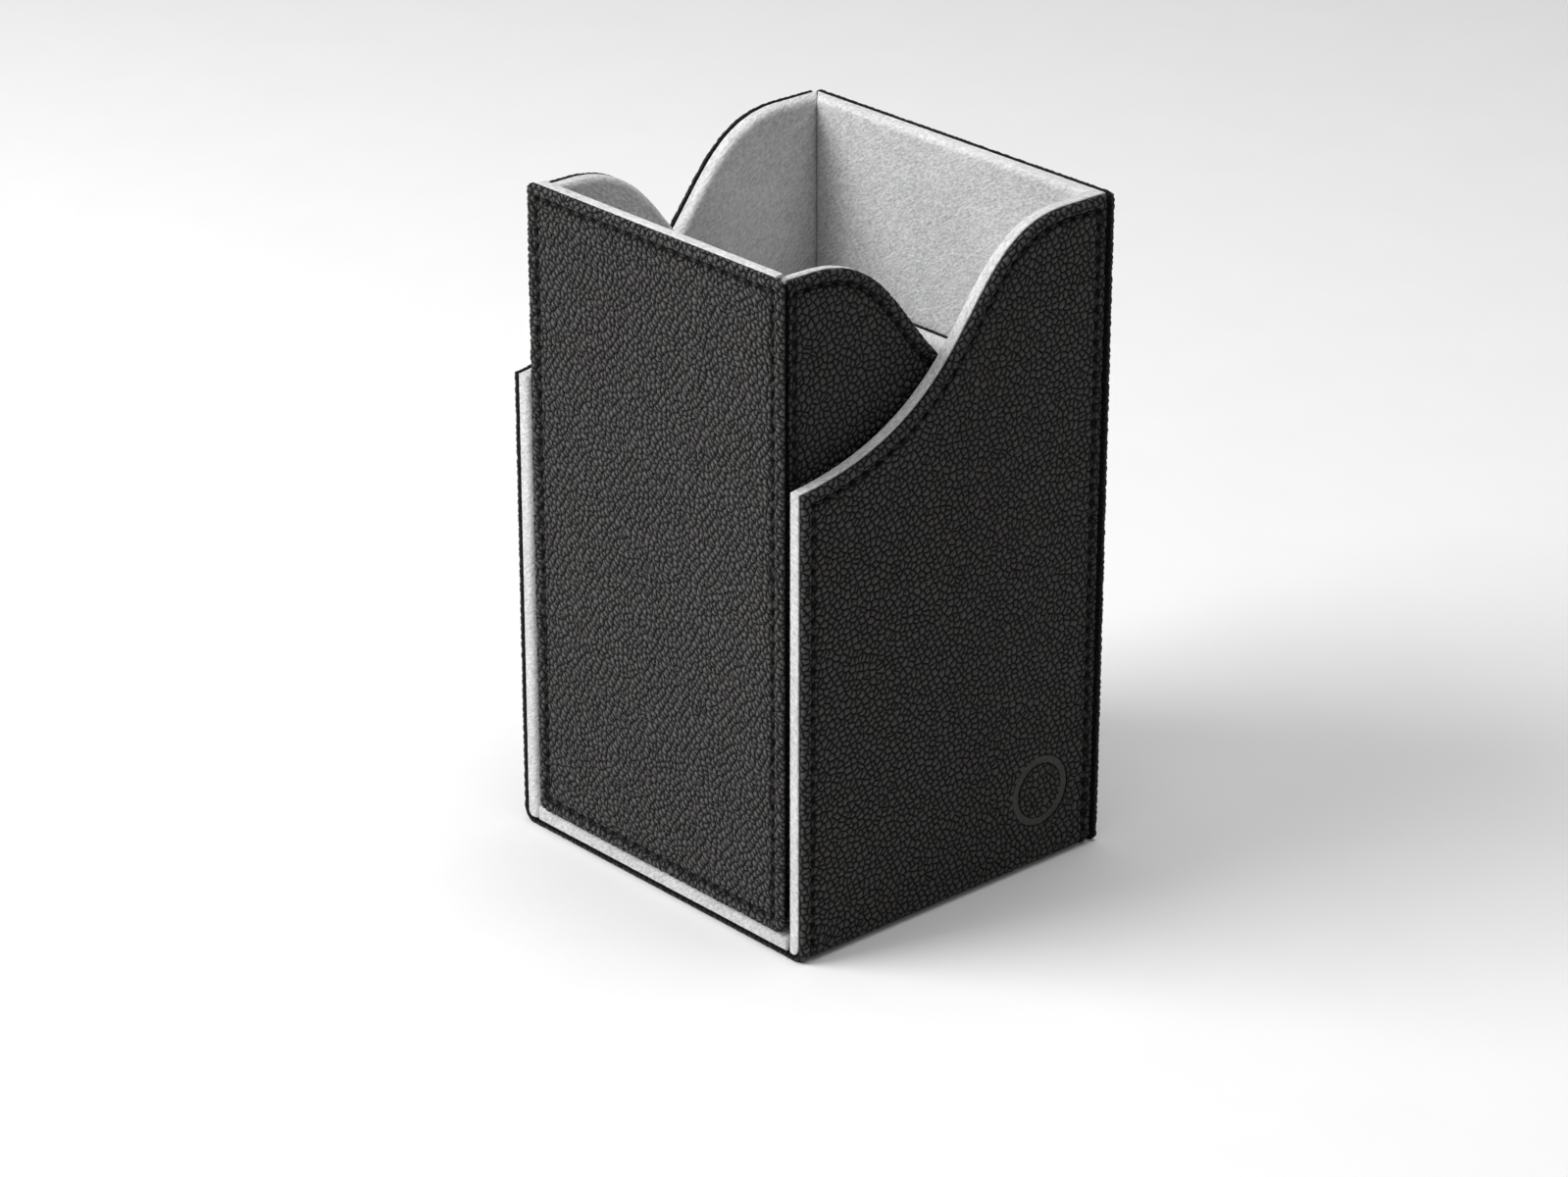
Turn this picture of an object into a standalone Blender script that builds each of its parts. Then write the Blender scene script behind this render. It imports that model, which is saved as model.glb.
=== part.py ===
"""A two-part nesting deck and dice box: stiff boards between black leatherette and pale microfibre.

An inner box stands in an outer shell. Each has a high end wall and two side walls whose tops fall in
an S-curve to a low end. The shell is open at its low end, which faces -Y. The inner box is turned half
round, so that its high wall fills the shell's open front, and its low end is closed by a low wall.

Both are laid up the same way: leatherette skin, board, microfibre lining, whose rim turns over the
board's edge. The wrap is one strip round the left side, floor and right side. Units are metres.
"""

import math
from dataclasses import dataclass

import bmesh
import bpy

# Driving dimensions of the outer shell
SHELL_WIDTH = 0.0880
SHELL_DEPTH = 0.0832
SHELL_HEIGHT = 0.1440
SHELL_LOW_HEIGHT = 0.1018

# Fit of the inner box in the shell
PANEL_PROUD = 0.0009        # its front stands this far in front of the shell's edges
SIDE_SHIFT = 0.0007         # it rests this far right of the middle
BACK_CLEARANCE = 0.0006
SIDE_PLAY = 0.0042          # free width between its wrap and the shell's linings, both sides together
INNER_HEIGHT = 0.1393
INNER_LOW_HEIGHT = 0.0974
PANEL_OVERHANG = 0.0009     # its front cover is this much wider than its wrap on each side
SIDE_DROP = 0.0008          # the tops of its side walls are this much lower than its front
CURVE_SHIFT = 0.0015        # its S-curve lies this much nearer to its high end than the shell's

# The S-curve of the side walls is a cubic Bezier; these are its handles along Y and up
CURVE_FLAT_FROM = 0.0287
CURVE_HIGH_HANDLE = -0.0002
CURVE_LOW_HANDLE = 0.0080
CURVE_LOW_RISE = 0.0052
CURVE_STEPS = 20

GAP = 0.0003                # glue line or clearance between touching pieces
WRAP_CORNER = 0.0030        # outer radius of the wrap where it turns under the floor
CORNER_STEPS = 6
COVER_CORNER = 0.0012
COVER_CORNER_STEPS = 3

# Stitching lies in a channel pressed into the leatherette
SEAM_INSET = 0.0028
SEAM_END_HEIGHT = 0.0036
CHANNEL_WIDTH = 0.0012
CHANNEL_DEPTH = 0.0007
THREAD_WIDTH = 0.0006
THREAD_DEPTH = 0.0004

# Plain ring pressed into the shell's right side
RING_Y = 0.0244
RING_Z = 0.0173
RING_RADIUS = 0.0078
RING_BAND = 0.0018
RING_DEPTH = 0.0003
RING_STEPS = 48

MAGNET_RADIUS = 0.0050
MAGNET_STEPS = 24

MERGE = 0.000001            # points closer than this are one point
SHARP_ANGLE = math.radians(30)
CUTTER_REACH = 0.0010       # how far a cutter stands out of the face that it cuts


@dataclass
class Box:
    """Sizes of one box in its own frame: underside at z = 0, low end at -Y, high end at +Y."""

    name: str
    width: float
    depth: float
    height: float
    low_height: float
    skin: float
    board: float
    floor_board: float
    lining: float
    low_end: str | None         # name of the wall that closes the low end
    cover_overhang: float
    high_end: str
    turned: bool
    magnet_y: float
    magnet_z: float
    side_drop: float = 0.0
    curve_shift: float = 0.0
    frame: bpy.types.Object = None

    @property
    def skin_inside(self):
        """Distance from the outside to the board's outer face."""
        return self.skin + GAP

    @property
    def board_inside(self):
        """Distance from the outside to the lining's outer face."""
        return self.skin_inside + self.board + GAP

    @property
    def wall(self):
        return self.board_inside + self.lining

    @property
    def floor_sheet(self):
        """Height of the underside of the lining, and of everything that stands on the floor board."""
        return self.skin_inside + self.floor_board + GAP

    @property
    def floor(self):
        return self.floor_sheet + self.lining

    def side_name(self, side):
        """left or right as seen from the front of the whole object, for side -1 or +1 in X."""
        return "right" if (side > 0) != self.turned else "left"

    def along(self, low_inset, high_inset):
        """Start and end in Y, at these distances in from the low end and the high end."""
        return -self.depth / 2 + low_inset, self.depth / 2 - high_inset


# ---------------------------------------------------------------- shapes


def make_object(name, bm, box, colour, roughness, metallic=0.0):
    """Turns bm into a named object with its own material, under the box's frame."""
    bmesh.ops.remove_doubles(bm, verts=bm.verts, dist=MERGE)
    bmesh.ops.recalc_face_normals(bm, faces=bm.faces)
    mesh = bpy.data.meshes.new(name)
    bm.to_mesh(mesh)
    bm.free()
    mesh.shade_smooth()
    mesh.set_sharp_from_angle(angle=SHARP_ANGLE)
    material = bpy.data.materials.new(name)
    material.use_nodes = True
    shader = material.node_tree.nodes["Principled BSDF"]
    shader.inputs["Base Color"].default_value = (*colour, 1.0)
    shader.inputs["Roughness"].default_value = roughness
    shader.inputs["Metallic"].default_value = metallic
    mesh.materials.append(material)
    piece = bpy.data.objects.new(name, mesh)
    piece.parent = box.frame
    bpy.context.scene.collection.objects.link(piece)
    return piece


def leatherette(name, bm, box):
    return make_object(name, bm, box, (0.045, 0.044, 0.044), 0.55)


def board(name, bm, box):
    return make_object(name, bm, box, (0.42, 0.36, 0.29), 0.90)


def microfibre(name, bm, box):
    return make_object(name, bm, box, (0.66, 0.66, 0.67), 0.95)


def magnet(name, bm, box):
    return make_object(name, bm, box, (0.60, 0.60, 0.62), 0.30, metallic=1.0)


def thread(name, bm, box):
    return make_object(name, bm, box, (0.012, 0.012, 0.012), 0.60)


def loft(rings, closed=False):
    """A solid through rings of matching points. Where rings share points they are merged later."""
    bm = bmesh.new()
    loops = [[bm.verts.new(point) for point in ring] for ring in rings]
    pairs = list(zip(loops, loops[1:]))
    if closed:
        pairs.append((loops[-1], loops[0]))
    else:
        bm.faces.new(reversed(loops[0]))
        bm.faces.new(loops[-1])
    count = len(loops[0])
    for here, there in pairs:
        for i in range(count):
            j = (i + 1) % count
            bm.faces.new((here[i], here[j], there[j], there[i]))
    return bm


def prism_x(outline, start, end):
    """An outline of (y, z) points carried from x = start to x = end."""
    return loft([[(x, y, z) for y, z in outline] for x in (start, end)])


def prism_y(outline, start, end):
    """An outline of (x, z) points carried from y = start to y = end."""
    return loft([[(x, y, z) for x, z in outline] for y in (start, end)])


def rectangle(low, high):
    return [(low[0], low[1]), (high[0], low[1]), (high[0], high[1]), (low[0], high[1])]


def arc(centre, radius, start, end, steps):
    """Points from angle start to angle end, in degrees, round centre."""
    angles = [math.radians(start + (end - start) * i / steps) for i in range(steps + 1)]
    return [(centre[0] + radius * math.cos(a), centre[1] + radius * math.sin(a)) for a in angles]


def rounded_rectangle(low, high, radius, steps):
    """A rectangle whose four corners are arcs."""
    corners = [
        ((low[0] + radius, low[1] + radius), 180),
        ((high[0] - radius, low[1] + radius), 270),
        ((high[0] - radius, high[1] - radius), 0),
        ((low[0] + radius, high[1] - radius), 90),
    ]
    return [point for centre, start in corners for point in arc(centre, radius, start, start + 90, steps)]


def mitred(path, closed):
    """For each point of a flat path, the vector across it that keeps a ribbon's width at bends."""
    normals = []
    count = len(path)
    for i, (a, b) in enumerate(path):
        before = path[i - 1] if i or closed else None
        after = path[(i + 1) % count] if i + 1 < count or closed else None
        sides = []
        for start, end in ((before, (a, b)), ((a, b), after)):
            if start and end:
                length = math.dist(start, end)
                sides.append(((end[1] - start[1]) / length, -(end[0] - start[0]) / length))
        across = [sum(side[k] for side in sides) / len(sides) for k in (0, 1)]
        squared = across[0] ** 2 + across[1] ** 2
        normals.append((across[0] / squared, across[1] / squared))
    return normals


def ribbon(path, width, place, depths, closed):
    """A flat strip along a path. place(a, b, depth) turns a path point and a depth into a 3-D point."""
    rings = []
    for (a, b), (na, nb) in zip(path, mitred(path, closed)):
        left = (a - na * width / 2, b - nb * width / 2)
        right = (a + na * width / 2, b + nb * width / 2)
        rings.append([place(*p, d) for p, d in zip((left, right, right, left), sorted(depths * 2))])
    return loft(rings, closed)


def cut(piece, name, bm, box):
    """Cuts the solid bm out of piece with a Boolean, and keeps it in the file as a wire guide."""
    cutter = thread(name, bm, box)
    cutter.hide_render = True
    cutter.display_type = "WIRE"
    modifier = piece.modifiers.new(name, "BOOLEAN")
    modifier.operation = "DIFFERENCE"
    modifier.solver = "EXACT"
    modifier.object = cutter


# ---------------------------------------------------------------- the S-curve


def top_profile(box):
    """(y, z) along the top of a side wall, from its low end to its high end."""
    start, end = box.along(0, 0)
    high = box.height - box.side_drop
    handles = [
        (start, box.low_height),
        (CURVE_LOW_HANDLE + box.curve_shift, box.low_height + CURVE_LOW_RISE),
        (CURVE_HIGH_HANDLE + box.curve_shift, high),
        (CURVE_FLAT_FROM + box.curve_shift, high),
    ]
    points = []
    for step in range(CURVE_STEPS + 1):
        t = step / CURVE_STEPS
        weights = ((1 - t) ** 3, 3 * (1 - t) ** 2 * t, 3 * (1 - t) * t ** 2, t ** 3)
        points.append(tuple(sum(w * h[k] for w, h in zip(weights, handles)) for k in (0, 1)))
    return [*points, (end, high)]


def lowered(profile, distance):
    """The profile moved in by distance at right angles to itself, measured straight down."""
    moved = []
    last = len(profile) - 1
    for i, (y, z) in enumerate(profile):
        before, after = profile[max(i - 1, 0)], profile[min(i + 1, last)]
        slope = (after[1] - before[1]) / (after[0] - before[0])
        moved.append((y, z - distance * math.hypot(1, slope)))
    return moved


def height_at(profile, y):
    for (y0, z0), (y1, z1) in zip(profile, profile[1:]):
        if y <= y1:
            return z0 + (z1 - z0) * (y - y0) / (y1 - y0)
    return profile[-1][1]


def clipped(profile, start, end):
    """The part of the profile from y = start to y = end."""
    inside = [(y, z) for y, z in profile if start + MERGE < y < end - MERGE]
    return [(start, height_at(profile, start)), *inside, (end, height_at(profile, end))]


# ---------------------------------------------------------------- sub-parts


def make_wrap(box):
    """The leatherette strip round the left side, floor and right side, with seam channels."""
    half = box.width / 2
    inner = WRAP_CORNER - box.skin
    low_inset = box.skin_inside if box.low_end else 0.0
    start, end = box.along(low_inset, box.skin_inside)
    turn = half - WRAP_CORNER
    rings = []
    for y, z in clipped(top_profile(box), start, end):
        outline = [(-half, z)]
        outline += arc((-turn, WRAP_CORNER), WRAP_CORNER, 180, 270, CORNER_STEPS)
        outline += arc((turn, WRAP_CORNER), WRAP_CORNER, 270, 360, CORNER_STEPS)
        outline += [(half, z), (half - box.skin, z)]
        outline += arc((turn, WRAP_CORNER), inner, 360, 270, CORNER_STEPS)
        outline += arc((-turn, WRAP_CORNER), inner, 270, 180, CORNER_STEPS)
        outline += [(box.skin - half, z)]
        rings.append([(x, y, height) for x, height in outline])
    wrap = leatherette(f"{box.name}_wrap", loft(rings), box)
    for side in (-1, 1):
        make_side_seam(box, wrap, side, start, end)
    return wrap


def make_side_seam(box, wrap, side, start, end):
    """Channel and thread up the low edge, along the S-curve and down the high edge of one side."""
    def place(y, z, depth):
        return side * (box.width / 2 - depth), y, z

    def route(end_height):
        top = clipped(lowered(top_profile(box), SEAM_INSET), start + SEAM_INSET, end - SEAM_INSET)
        return [(top[0][0], end_height), *top, (top[-1][0], end_height)]

    label = f"{box.name}_{box.side_name(side)}"
    channel = ribbon(route(SEAM_END_HEIGHT), CHANNEL_WIDTH, place, (-CUTTER_REACH, CHANNEL_DEPTH), False)
    cut(wrap, f"{label}_channel", channel, box)
    stitches = ribbon(route(SEAM_END_HEIGHT + GAP), THREAD_WIDTH, place, (0.0, THREAD_DEPTH), False)
    thread(f"{label}_stitching", stitches, box)


def make_side_board(box, side):
    """The stiff board of one side wall, with a round hole for its magnet."""
    low_inset = box.wall + GAP if box.low_end else box.lining + GAP
    start, end = box.along(low_inset, box.board_inside)
    top = clipped(lowered(top_profile(box), box.lining + GAP), start, end)
    outline = [*top, (end, box.floor_sheet), (start, box.floor_sheet)]
    outer, inner = (side * (box.width / 2 - inset) for inset in (box.skin_inside, box.board_inside - GAP))
    label = f"{box.name}_{box.side_name(side)}"
    piece = board(f"{label}_board", prism_x(outline, inner, outer), box)
    centre = (box.magnet_y, box.magnet_z)
    pocket = arc(centre, MAGNET_RADIUS + GAP, 0, 360, MAGNET_STEPS)[:-1]
    reach = side * CUTTER_REACH
    cut(piece, f"{label}_pocket", prism_x(pocket, inner - reach, outer + reach), box)
    disc = arc(centre, MAGNET_RADIUS, 0, 360, MAGNET_STEPS)[:-1]
    magnet(f"{label}_magnet", prism_x(disc, inner, outer), box)


def make_side_lining(box, side):
    """Microfibre on one side wall: a sheet, its rim over the S-curve and, at an open end, down the edge."""
    half = box.width / 2
    inner, back, outer = half - box.wall, half - box.board_inside, half - box.skin_inside
    radius = WRAP_CORNER - box.skin_inside
    corner = arc((half - WRAP_CORNER, WRAP_CORNER), radius, 270, 360, CORNER_STEPS)
    profile = top_profile(box)
    under = lowered(profile, box.lining)
    start, end = box.along(box.wall + GAP if box.low_end else 0.0, box.wall + GAP)

    def rim_ring(y, z):
        rim = height_at(under, y)
        outline = [(inner, box.floor_sheet), (inner, box.skin_inside), *corner, corner[-1]]
        return y, [*outline, (outer, rim), (outer, z), (inner, z)]

    def sheet_ring(y, z):
        rim = height_at(under, y)
        outline = [(inner, box.floor_sheet)] * 2 + [(back, box.floor_sheet)] * len(corner)
        return y, [*outline, (back, rim), (outer, rim), (outer, z), (inner, z)]

    rings = []
    if not box.low_end:
        rings += [rim_ring(y, z) for y, z in clipped(profile, start, start + box.lining)]
        start += box.lining
    rings += [sheet_ring(y, z) for y, z in clipped(profile, start, end)]
    bm = loft([[(side * x, y, z) for x, z in outline] for y, outline in rings])
    microfibre(f"{box.name}_{box.side_name(side)}_lining", bm, box)


def make_floor(box):
    """Board and lining of the floor. At an open low end the lining's rim turns down over the board."""
    reach = box.width / 2 - WRAP_CORNER
    board_low = box.skin_inside if box.low_end else box.lining + GAP
    start, end = box.along(board_low, box.skin_inside)
    top = box.floor_sheet - GAP
    outline = rectangle((start, box.skin_inside), (end, top))
    board(f"{box.name}_floor_board", prism_x(outline, -reach, reach), box)
    reach = box.width / 2 - box.wall - GAP
    start, end = box.along(box.wall + GAP if box.low_end else 0.0, box.wall + GAP)
    if box.low_end:
        outline = rectangle((start, box.floor_sheet), (end, box.floor))
    else:
        fold = start + box.lining
        rim = [(start, box.skin_inside), (fold, box.skin_inside), (fold, box.floor_sheet)]
        outline = [*rim, (end, box.floor_sheet), (end, box.floor), (start, box.floor)]
    microfibre(f"{box.name}_floor_lining", prism_x(outline, -reach, reach), box)


def make_end_wall(box, label, end, height, overhang):
    """Cover, board, lining and stitched seam of the wall at the high end (+1) or the low end (-1)."""
    def y_at(inset):
        return end * (box.depth / 2 - inset)

    name = f"{box.name}_{label}"
    half = box.width / 2 + overhang
    outline = rounded_rectangle((-half, 0.0), (half, height), COVER_CORNER, COVER_CORNER_STEPS)
    cover = leatherette(f"{name}_cover", prism_y(outline, y_at(0.0), y_at(box.skin)), box)
    make_end_seam(cover, name, box, y_at, half, height)

    reach = box.width / 2 - box.skin_inside
    outline = rectangle((-reach, box.floor_sheet), (reach, height - box.lining - GAP))
    board(f"{name}_board", prism_y(outline, y_at(box.skin_inside), y_at(box.board_inside - GAP)), box)

    narrow = box.width / 2 - box.wall + box.lining
    rim = height - box.lining
    inner, back, outer = y_at(box.wall), y_at(box.board_inside), y_at(box.skin_inside)
    rim_only = [(inner, rim), (back, rim), (back, rim), (outer, rim), (outer, height), (inner, height)]
    whole = [(inner, box.floor_sheet), (back, box.floor_sheet), *rim_only[2:]]
    stations = ((-reach, rim_only), (-narrow, rim_only), (-narrow, whole))
    stations += ((narrow, whole), (narrow, rim_only), (reach, rim_only))
    bm = loft([[(x, y, z) for y, z in outline] for x, outline in stations])
    microfibre(f"{name}_lining", bm, box)


def make_end_seam(cover, name, box, y_at, half, height):
    """Channel and thread right round a cover."""
    def place(x, z, depth):
        return x, y_at(depth), z

    path = rectangle((SEAM_INSET - half, SEAM_INSET), (half - SEAM_INSET, height - SEAM_INSET))
    channel = ribbon(path, CHANNEL_WIDTH, place, (-CUTTER_REACH, CHANNEL_DEPTH), True)
    cut(cover, f"{name}_channel", channel, box)
    thread(f"{name}_stitching", ribbon(path, THREAD_WIDTH, place, (0.0, THREAD_DEPTH), True), box)


def press_ring(box, wrap):
    """A plain ring pressed into the right side of the shell."""
    rings = []
    for y, z in arc((RING_Y, RING_Z), 1.0, 0, 360, RING_STEPS)[:-1]:
        across = (y - RING_Y, z - RING_Z)
        ring = []
        for radius, depth in (
            (RING_RADIUS, -CUTTER_REACH),
            (RING_RADIUS - RING_BAND, -CUTTER_REACH),
            (RING_RADIUS - RING_BAND, RING_DEPTH),
            (RING_RADIUS, RING_DEPTH),
        ):
            ring.append((box.width / 2 - depth, RING_Y + across[0] * radius, RING_Z + across[1] * radius))
        rings.append(ring)
    cut(wrap, "outer_ring_press", loft(rings, closed=True), box)


def make_box(box, location):
    """Builds one box under an empty that stands at its own frame."""
    box.frame = bpy.data.objects.new(f"{box.name}_frame", None)
    bpy.context.scene.collection.objects.link(box.frame)
    box.frame.location = location
    box.frame.rotation_euler.z = math.pi if box.turned else 0.0
    wrap = make_wrap(box)
    for side in (-1, 1):
        make_side_board(box, side)
        make_side_lining(box, side)
    make_floor(box)
    make_end_wall(box, box.high_end, 1, box.height, box.cover_overhang)
    if box.low_end:
        make_end_wall(box, box.low_end, -1, box.low_height, 0.0)
    return wrap


def main():
    for old in list(bpy.data.objects):
        bpy.data.objects.remove(old)

    total_depth = SHELL_DEPTH + PANEL_PROUD
    shell_y = PANEL_PROUD / 2
    shell = Box(
        name="outer", width=SHELL_WIDTH, depth=SHELL_DEPTH, height=SHELL_HEIGHT,
        low_height=SHELL_LOW_HEIGHT, skin=0.0012, board=0.0018, floor_board=0.0022, lining=0.0010,
        low_end=None, cover_overhang=0.0, high_end="back", turned=False,
        magnet_y=-shell_y, magnet_z=0.0,
    )
    inner_back = total_depth / 2 - shell.wall - BACK_CLEARANCE
    inner_y = (inner_back - total_depth / 2) / 2
    inner = Box(
        name="inner", width=SHELL_WIDTH - 2 * shell.wall - SIDE_PLAY, depth=inner_back + total_depth / 2,
        height=INNER_HEIGHT, low_height=INNER_LOW_HEIGHT, skin=0.0010, board=0.0014, floor_board=0.0020,
        lining=0.0009, low_end="back", cover_overhang=PANEL_OVERHANG, high_end="front", turned=True,
        magnet_y=inner_y, magnet_z=INNER_HEIGHT / 2, side_drop=SIDE_DROP, curve_shift=CURVE_SHIFT,
    )
    inner_z = shell.floor + GAP
    shell.magnet_z = inner_z + inner.magnet_z   # level with the inner magnets, either way up

    wrap = make_box(shell, (0.0, shell_y, 0.0))
    press_ring(shell, wrap)
    make_box(inner, (SIDE_SHIFT, inner_y, inner_z))


main()
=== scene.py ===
"""Looks of a nesting deck and dice box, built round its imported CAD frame. Units are metres.

An outer shell holds an inner box that is turned half round. Both have black pebbled leatherette
outside, sewn along its edges, and pale microfibre inside, whose rim turns over the walls.

Every sheet is laid out flat first, in its own coordinates (a, b), and a surface function then puts it
in place at a depth under its face. Each box is built in its own frame: its low end is at -Y, its high
end at +Y, and its underside at z = 0.
"""

import math
from dataclasses import dataclass

import bpy
import numpy as np
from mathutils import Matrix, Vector


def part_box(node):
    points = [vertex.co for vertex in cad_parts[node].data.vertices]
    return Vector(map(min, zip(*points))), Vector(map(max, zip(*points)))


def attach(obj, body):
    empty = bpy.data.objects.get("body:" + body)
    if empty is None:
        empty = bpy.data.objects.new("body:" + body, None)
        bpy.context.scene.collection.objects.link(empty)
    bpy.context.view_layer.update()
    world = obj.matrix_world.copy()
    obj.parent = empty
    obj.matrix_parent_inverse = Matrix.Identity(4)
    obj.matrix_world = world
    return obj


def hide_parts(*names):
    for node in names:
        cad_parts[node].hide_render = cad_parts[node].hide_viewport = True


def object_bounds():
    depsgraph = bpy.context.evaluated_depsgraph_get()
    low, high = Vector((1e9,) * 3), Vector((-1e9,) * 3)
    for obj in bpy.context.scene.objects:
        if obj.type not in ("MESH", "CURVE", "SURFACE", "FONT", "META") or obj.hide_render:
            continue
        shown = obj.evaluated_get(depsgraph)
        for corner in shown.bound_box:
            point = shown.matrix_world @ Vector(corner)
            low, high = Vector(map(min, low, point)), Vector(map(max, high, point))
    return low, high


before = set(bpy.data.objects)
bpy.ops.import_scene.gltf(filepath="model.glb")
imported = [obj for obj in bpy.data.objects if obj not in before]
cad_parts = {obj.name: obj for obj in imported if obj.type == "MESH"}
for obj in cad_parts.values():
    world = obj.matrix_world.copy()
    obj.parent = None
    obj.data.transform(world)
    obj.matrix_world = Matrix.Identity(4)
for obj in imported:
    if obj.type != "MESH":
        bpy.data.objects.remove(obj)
cad_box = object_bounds()

# Construction, as in the CAD
GAP = 0.0003                # clearance between neighbouring layers
WRAP_CORNER = 0.0030        # outer radius of a wrap's bend at the floor
COVER_CORNER = 0.0018
SEAM_INSET = 0.0028
CURVE_FLAT_FROM = 0.0287
CURVE_HIGH_HANDLE = -0.0002
CURVE_LOW_HANDLE = 0.0080
CURVE_LOW_RISE = 0.0052
CURVE_SHIFT = {"outer": 0.0, "inner": 0.0015}
RING_Y = 0.0244
RING_Z = 0.0173
RING_RADIUS = 0.0078
RING_BAND = 0.0018

# Edges, grooves and rims
SKIN_ROUND = 0.42           # radius of a skin's outer edge, as a share of its thickness
SKIN_BACK_ROUND = 0.00030
SKIN_EDGE_RELIEF = 0.45     # share of the face's relief that is left on a skin's edge
EDGE_SHADE_RISE = 3.0        # how fast the painted shade on a skin's cut edge, for the gap beside it, deepens with the share of its thickness
WRAP_SHADE_FROM = 0.4        # the share of the thickness at which it starts
COVER_SHADE_FROM = 0.45
GROOVE = {"outer": 0.0008, "inner": 0.0015}     # open width between a wrap's edge and the next cover
EDGE_SHADE = 0.0012         # how far the painted shade beside the groove at a wrap's cut end reaches into its face
EDGE_SHADE_STRENGTH = 0.6
RING_DEPTH = 0.00026
RING_STEP = 0.00010         # half the width of the ring's sloping edges, in the shader
RING_SLOPE = 0.0003         # their whole width in the mesh
CORNER_GAP = 0.00035        # open line between two linings in a corner
RIM_ROLL = 0.0014           # radius with which a lining's rim rolls over the top of a wall
RIM_CORNER = 0.0003
RIM_REACH = 0.00012         # how far a rim spreads over the glue line towards the skin
RIM_SPREAD = 2.2            # how fast a rim widens where the next wall is lower
PANEL_RIM_LAP = 0.00055     # the front panel's rim laps further, over the edge of the skin,
PANEL_RIM_LIFT = 0.00020    # and stands this far above it
MITRE_REACH = 0.006         # length over which a side rim leans into the mitre at a corner

# Underside of a wrap
SPLIT_INSET = 0.003         # the side pieces of a wrap end this far in under the box
UNDER_FADE = 0.002          # length of bend over which the grain is worn flat and painted with shade where it meets the floor
FLOOR_PRESSED = 0.85
# painted shade on the floor of the wrap, under the box
FLOOR_SHADE = 0.6

# Lattices
SIDE_STEP = 0.00037
COVER_STEP = 0.00040
MARGIN = 0.0042             # band along an edge that holds the seam
MARGIN_STEP = 0.00024
FLOOR_STEP = 0.0009
LINING_STEP = 0.00055
RIM_BAND = 0.004            # band of a side lining whose rows follow the curve
RIM_BAND_STEP = 0.0005
BEND_ROWS = 20
BACK_STEP = 8               # the hidden back of a sheet has one line for this many on its face
CURVE_SAMPLES = 400
SEAM_SAMPLES = 90

# Sewing
STITCH_PITCH = 0.0035
STITCH_GAP = 0.0014
THREAD_RADIUS = 0.00027
THREAD_SIDES = 8
THREAD_RINGS = 9
THREAD_TAPER = 0.35         # how much thinner a stitch is at its holes
PLY_RELIEF = 0.13           # relief of the two twisted plies, as a share of the radius
PLY_TWIST = 14.0            # their turn over one stitch, in radians
THREAD_SINK = 0.00034
THREAD_DIP = 0.00050
CHANNEL_DEPTH = 0.00045
CHANNEL_REACH = 0.00042
CHANNEL_PRESS = 1.25        # how strongly the channel flattens the grain
# painted shade in the stitch channel and, deeper, in the needle holes
CHANNEL_SHADE = 0.70
PULL_DEPTH = 0.00014        # the skin round the channel is pulled down a little too
PULL_REACH = 0.0011
HOLE_DEPTH = 0.00048
HOLE_REACH = 0.00048
HOLE_LENGTH = 0.00105
HOLE_SHADE = 2.2
MARGIN_RISE = 0.00030       # the margin outside the seam is rolled up
MARGIN_MIDDLE = 0.0013
MARGIN_REACH = 0.0007


@dataclass
class Grain:
    """Pebbles of a leatherette: along, across and relief in metres, turn in degrees, the rest in pebbles.

    valley is the width of a pebble's sloping edge, and merging how far some pebbles run together.
    """

    along: float
    across: float
    turn: float
    jitter: float
    sway: float
    sway_size: float
    valley: float
    merging: float
    relief: float


SIDE_GRAIN = Grain(0.00150, 0.00142, 22.0, 0.84, 0.12, 6.0, 0.30, 0.0, 0.00030)
PANEL_GRAIN = Grain(0.00158, 0.00112, 36.0, 0.80, 0.20, 6.0, 0.34, 0.32, 0.00036)

# Leatherette
CROWN = 0.50                # height of a pebble's crown over its flat top, as a share of the relief
VALLEY_SHADE_POWER = 1.7          # how sharply the painted shade deepens towards a valley
PATCH_TINT = 0.18           # share by which the colour drifts over the sheet
PEBBLE_TINT = 0.12          # and from pebble to pebble
# how far the painted shade of seams, cut edges and the underside darkens the colour
SHADE_PAINT_STRENGTH = 0.92
WEAR_ROUGH = 0.20
VALLEY_ROUGH = 0.30
SEAM_ROUGH = 0.30
CREASE = 0.14               # fine creases, as a share of the relief
RING_FLAT = 0.82            # how far the ring's flat band is out of the valley colour
RING_SUNK = 0.25
BUMP = 1.55                 # shading relief, which adds what the lattice is too coarse for


# ---- node trees


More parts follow.
